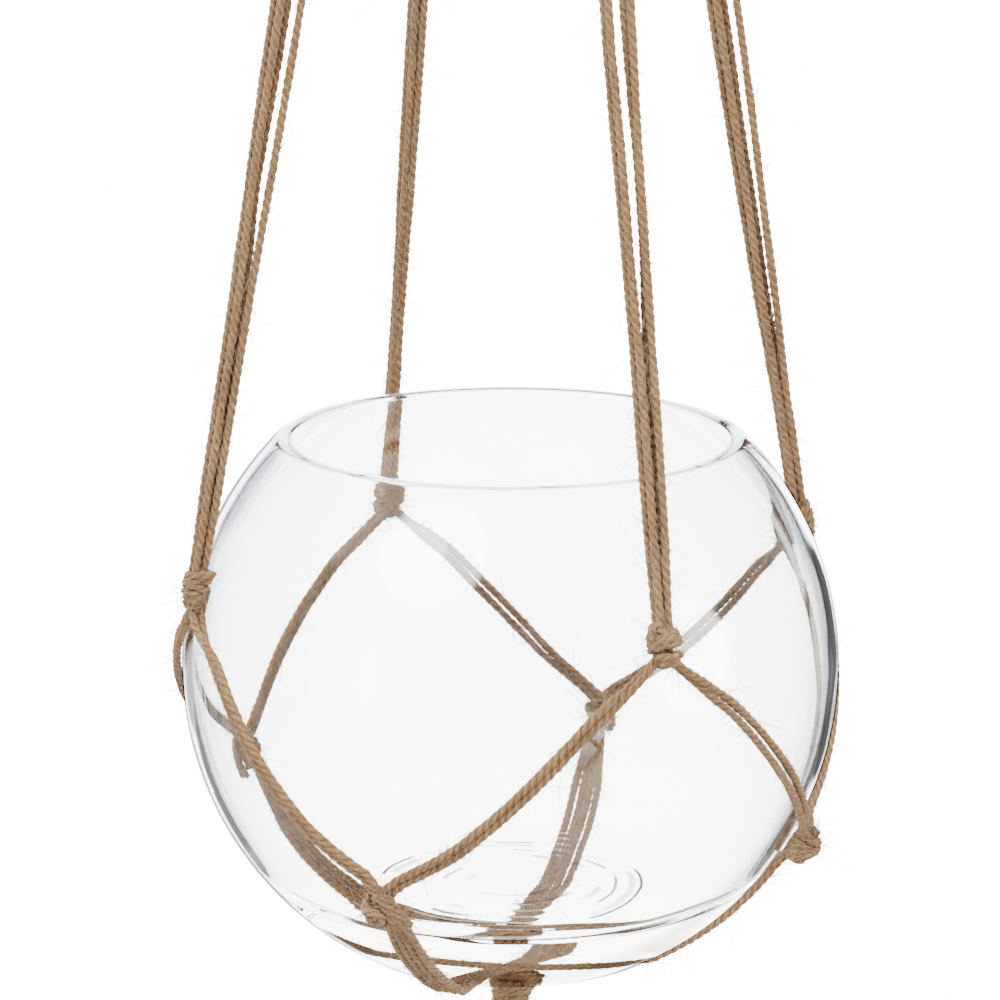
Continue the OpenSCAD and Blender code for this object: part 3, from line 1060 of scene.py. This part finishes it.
def add_ring():
    """The welded ring: round wire with a slightly raised weld at its top."""
    centre_z = (RING_HIGH[2] + RING_LOW[2]) / 2
    around, across = 160, 24
    a = np.arange(around) * TURN / around
    b = np.arange(across) * TURN / across
    from_weld = np.abs((a - TURN / 4 + math.pi) % TURN - math.pi) * RING_R
    bulge = 0.22 * np.exp(-(from_weld / 1.6) ** 2) - 0.10 * np.exp(-((from_weld - 3.2) / 0.8) ** 2)
    r = WIRE_R + bulge[:, None]
    out = RING_R + r * np.cos(b)
    verts = np.stack([out * np.cos(a)[:, None], r * np.sin(b), centre_z + out * np.sin(a)[:, None]], -1)
    mesh = Mesh()
    mesh.add(verts.reshape(-1, 3), (wall_quads(around + 1, across) % (around * across), None))
    mesh.build("steel_ring", [STEEL], "ring", ["hanging_ring"])


# The shallow hollow under the foot, and the curve from the inner wall to the inner floor
HOLLOW_R = 44
FILLET = 34.0


def bowl_profile():
    """Half section of the bowl as (distance from axis, height), from under the foot round to the floor."""
    inner_r = BOWL_R - WALL
    foot_edge = math.sqrt(BOWL_R**2 - FOOT_DEPTH**2)
    points = [(r, -FOOT_DEPTH + max(0.0, 1 - (r / HOLLOW_R) ** 2))
              for r in np.linspace(0, foot_edge - 2.5, 30)]
    for angle in np.linspace(-80, -60, 6):
        a = math.radians(angle)
        points.append((foot_edge - 2.2 + 3.2 * math.cos(a) * 0.9, -FOOT_DEPTH + 3.0 + 3.0 * math.sin(a)))
    low = math.degrees(math.asin(-(FOOT_DEPTH - 2.0) / BOWL_R))
    high = math.degrees(math.asin((RIM_H - 1.3) / BOWL_R))
    for angle in np.linspace(low, high, 70):
        a = math.radians(angle)
        points.append((BOWL_R * math.cos(a), BOWL_R * math.sin(a)))
    outer = math.sqrt(BOWL_R**2 - RIM_H**2)
    inner = math.sqrt(inner_r**2 - RIM_H**2)
    points += [(outer + 0.35, RIM_H - 0.5), (outer - 0.35, RIM_H - 0.08), (outer - 0.9, RIM_H),
               (inner + 0.9, RIM_H), (inner + 0.3, RIM_H - 0.12), (inner + 0.15, RIM_H - 0.6)]
    centre_x = math.sqrt((inner_r - FILLET) ** 2 - (FLOOR_Z + FILLET) ** 2)
    tangent = math.degrees(math.atan2(FLOOR_Z + FILLET, centre_x))
    start = math.degrees(math.asin((RIM_H - 1.5) / inner_r))
    for angle in np.linspace(start, tangent, 60):
        a = math.radians(angle)
        points.append((inner_r * math.cos(a), inner_r * math.sin(a)))
    for angle in np.linspace(tangent, -90, 24)[1:]:
        a = math.radians(angle)
        points.append((centre_x + FILLET * math.cos(a), FLOOR_Z + FILLET + FILLET * math.sin(a)))
    points += [(r, FLOOR_Z) for r in np.linspace(centre_x, 0, 60)[1:]]
    return np.array(points)


def add_bowl():
    """The blown bowl, with slight ripples on its inner floor and under its foot."""
    profile = bowl_profile()
    segments = 240
    a = np.arange(segments) * TURN / segments
    r = profile[1:-1, 0][:, None]
    z = profile[1:-1, 1][:, None]
    near_floor = np.exp(-((z - FLOOR_Z) / 5) ** 2) * ease((r - 14) / 20) * ease((72 - r) / 16)
    waves = np.sin(0.95 * r + 0.7 * np.sin(3 * a) + 0.5 * np.sin(7 * a + 1)) * \
        (0.55 + 0.45 * np.sin(2 * a + 0.8) * np.sin(5 * a))
    under = np.exp(-((z + FOOT_DEPTH) / 3) ** 2) * ease((r - 20) / 16) * (r < 48)
    lift = 0.14 * near_floor * waves + 0.12 * under * np.sin(0.6 * r + 2 * np.sin(2 * a))
    verts = np.stack([r * np.cos(a), r * np.sin(a), z + lift], -1)
    levels = len(profile) - 2
    verts = np.vstack([verts.reshape(-1, 3), [[0, 0, profile[0, 1]], [0, 0, profile[-1, 1]]]]) + BOWL_AT
    foot, floor = end_fans(levels, segments)
    mesh = Mesh()
    mesh.add(verts, (wall_quads(levels, segments), None), (foot, None), (floor, None))
    mesh.build("bowl", [GLASS], "bowl", ["glass_bowl"])


# ---- floor and light

# Brightness of the white behind the planter, of the light on its cord, and of what the glass mirrors
STUDIO_WHITE = (16.0, 16.0, 16.0)
STUDIO_FILL = (0.8, 0.8, 0.8)
MIRRORED_ROOM = (0.20, 0.20, 0.21)
MIRRORED_FLOOR = (0.40, 0.36, 0.32)
# What the glass and the steel mirror of the studio, each thing over the one before it: degrees right of
# the view towards the bowl, degrees above it, radius in degrees, colour
MIRRORED_THINGS = [
    (30, -92, 42, (3.0, 2.4, 1.9)),
    (-98, 8, 38, (0.60, 0.45, 0.27)),
    (0, 0, 27, (14.0, 14.0, 14.0)),
    (0, -34, 8, (14.0, 14.0, 14.0)),
    (27, 0, 10, (0.10, 0.10, 0.11)),
    (-28, 2, 8, (1.2, 1.2, 1.3)),
    (-15.5, -11, 4.5, (0.2, 0.2, 0.2)),
    (-10, 85, 30, (1.2, 1.2, 1.2)),
    (-77, 108, 18, (24.0, 24.0, 24.0)),
    (114, 3, 16, (24.0, 24.0, 24.0)),
]


def towards(right, up):
    """The direction turned off the view towards the bowl, to the right and up, in degrees."""
    angle = math.radians(math.hypot(right, up))
    around = math.atan2(up, right)
    slope = math.radians(CAMERA_ELEVATION)
    ahead = np.array([0, math.cos(slope), -math.sin(slope)])
    upward = np.array([0, math.sin(slope), math.cos(slope)])
    aside = math.cos(around) * np.array([1, 0, 0]) + math.sin(around) * upward
    return math.cos(angle) * ahead + math.sin(angle) * aside


def with_patches(tree, direction, colour, patches):
    """The colour with a soft round patch of another colour for each entry."""
    for right, up, radius, patch_colour in patches:
        facing = vector_step(tree, "DOT_PRODUCT", direction, towards(right, up), "Value")
        edge, full = [math.cos(math.radians(share * radius)) for share in (1.1, 0.9)]
        inside = between(tree, facing, edge, full, shape="SMOOTHSTEP")
        colour = choose(tree, inside, colour, patch_colour)
    return colour


def studio_light(tree, direction, mirrored):
    """White behind the planter, the room where the glass mirrors it, and a soft fill where cord is lit."""
    path = new_node(tree, "LightPath")
    mirrored_once, lighting = [calculate(tree, "GREATER_THAN", path.outputs[depth], 0.5)
                               for depth in ("Glossy Depth", "Diffuse Depth")]
    room = with_patches(tree, direction, mirrored, MIRRORED_THINGS)
    return choose(tree, lighting, choose(tree, mirrored_once, STUDIO_WHITE, room), STUDIO_FILL)


def add_floor():
    """A pale floor that shows as bright studio white but lights the planter softly."""
    data = bpy.data.meshes.new("floor")
    size = 30.0
    z = CAD_BOX[0][2] - 0.3
    data.from_pydata([(-size, -size, z), (size, -size, z), (size, size, z), (-size, size, z)], [],
                     [(0, 1, 2, 3)])
    floor = add_object("floor", data)
    material = bpy.data.materials.new("floor")
    tree = empty_tree(material)
    output = new_node(tree, "OutputMaterial")
    glow = new_node(tree, "Emission")
    place = new_node(tree, "TexCoord")
    from_bowl = vector_step(tree, "SUBTRACT", place.outputs["Object"], BOWL_AT * MM)
    direction = vector_step(tree, "NORMALIZE", from_bowl)
    put(glow.inputs[0], studio_light(tree, direction, MIRRORED_FLOOR))
    settle(output, {"Surface": glow.outputs[0]})
    data.materials.append(material)


def add_world():
    """White all round, and a dim room with windows that only the glass mirrors."""
    world = bpy.data.worlds.new("studio")
    bpy.context.scene.world = world
    tree = empty_tree(world)
    output = new_node(tree, "OutputWorld")
    sky = new_node(tree, "Background")
    place = new_node(tree, "TexCoord")
    put(sky.inputs[0], studio_light(tree, place.outputs["Generated"], MIRRORED_ROOM))
    settle(output, {"Surface": sky.outputs[0]})


def add_lamp(name, place, aim, size, power):
    """A round soft lamp, aimed at a point; its size is in metres and its power in watts."""
    data = bpy.data.lights.new(name, "AREA")
    data.shape = "DISK"
    data.size = size
    data.energy = power
    lamp = add_object(name, data)
    lamp.location = place
    lamp.rotation_euler = (Vector(aim) - Vector(place)).to_track_quat("-Z", "Y").to_euler()


add_camera()
add_tassel()
add_legs()
add_net()
add_bands()
add_net_knots()
add_bottom_knot()
add_gathering_wrap()
add_ring_folds()
add_ring()
add_bowl()
add_floor()
add_world()
middle = BOWL_AT * MM
add_lamp("key", middle + Vector((-1.6, -1.4, 2.2)), middle, 1.2, 60)
add_lamp("fill", middle + Vector((1.8, -1.6, 0.8)), middle, 1.4, 16)
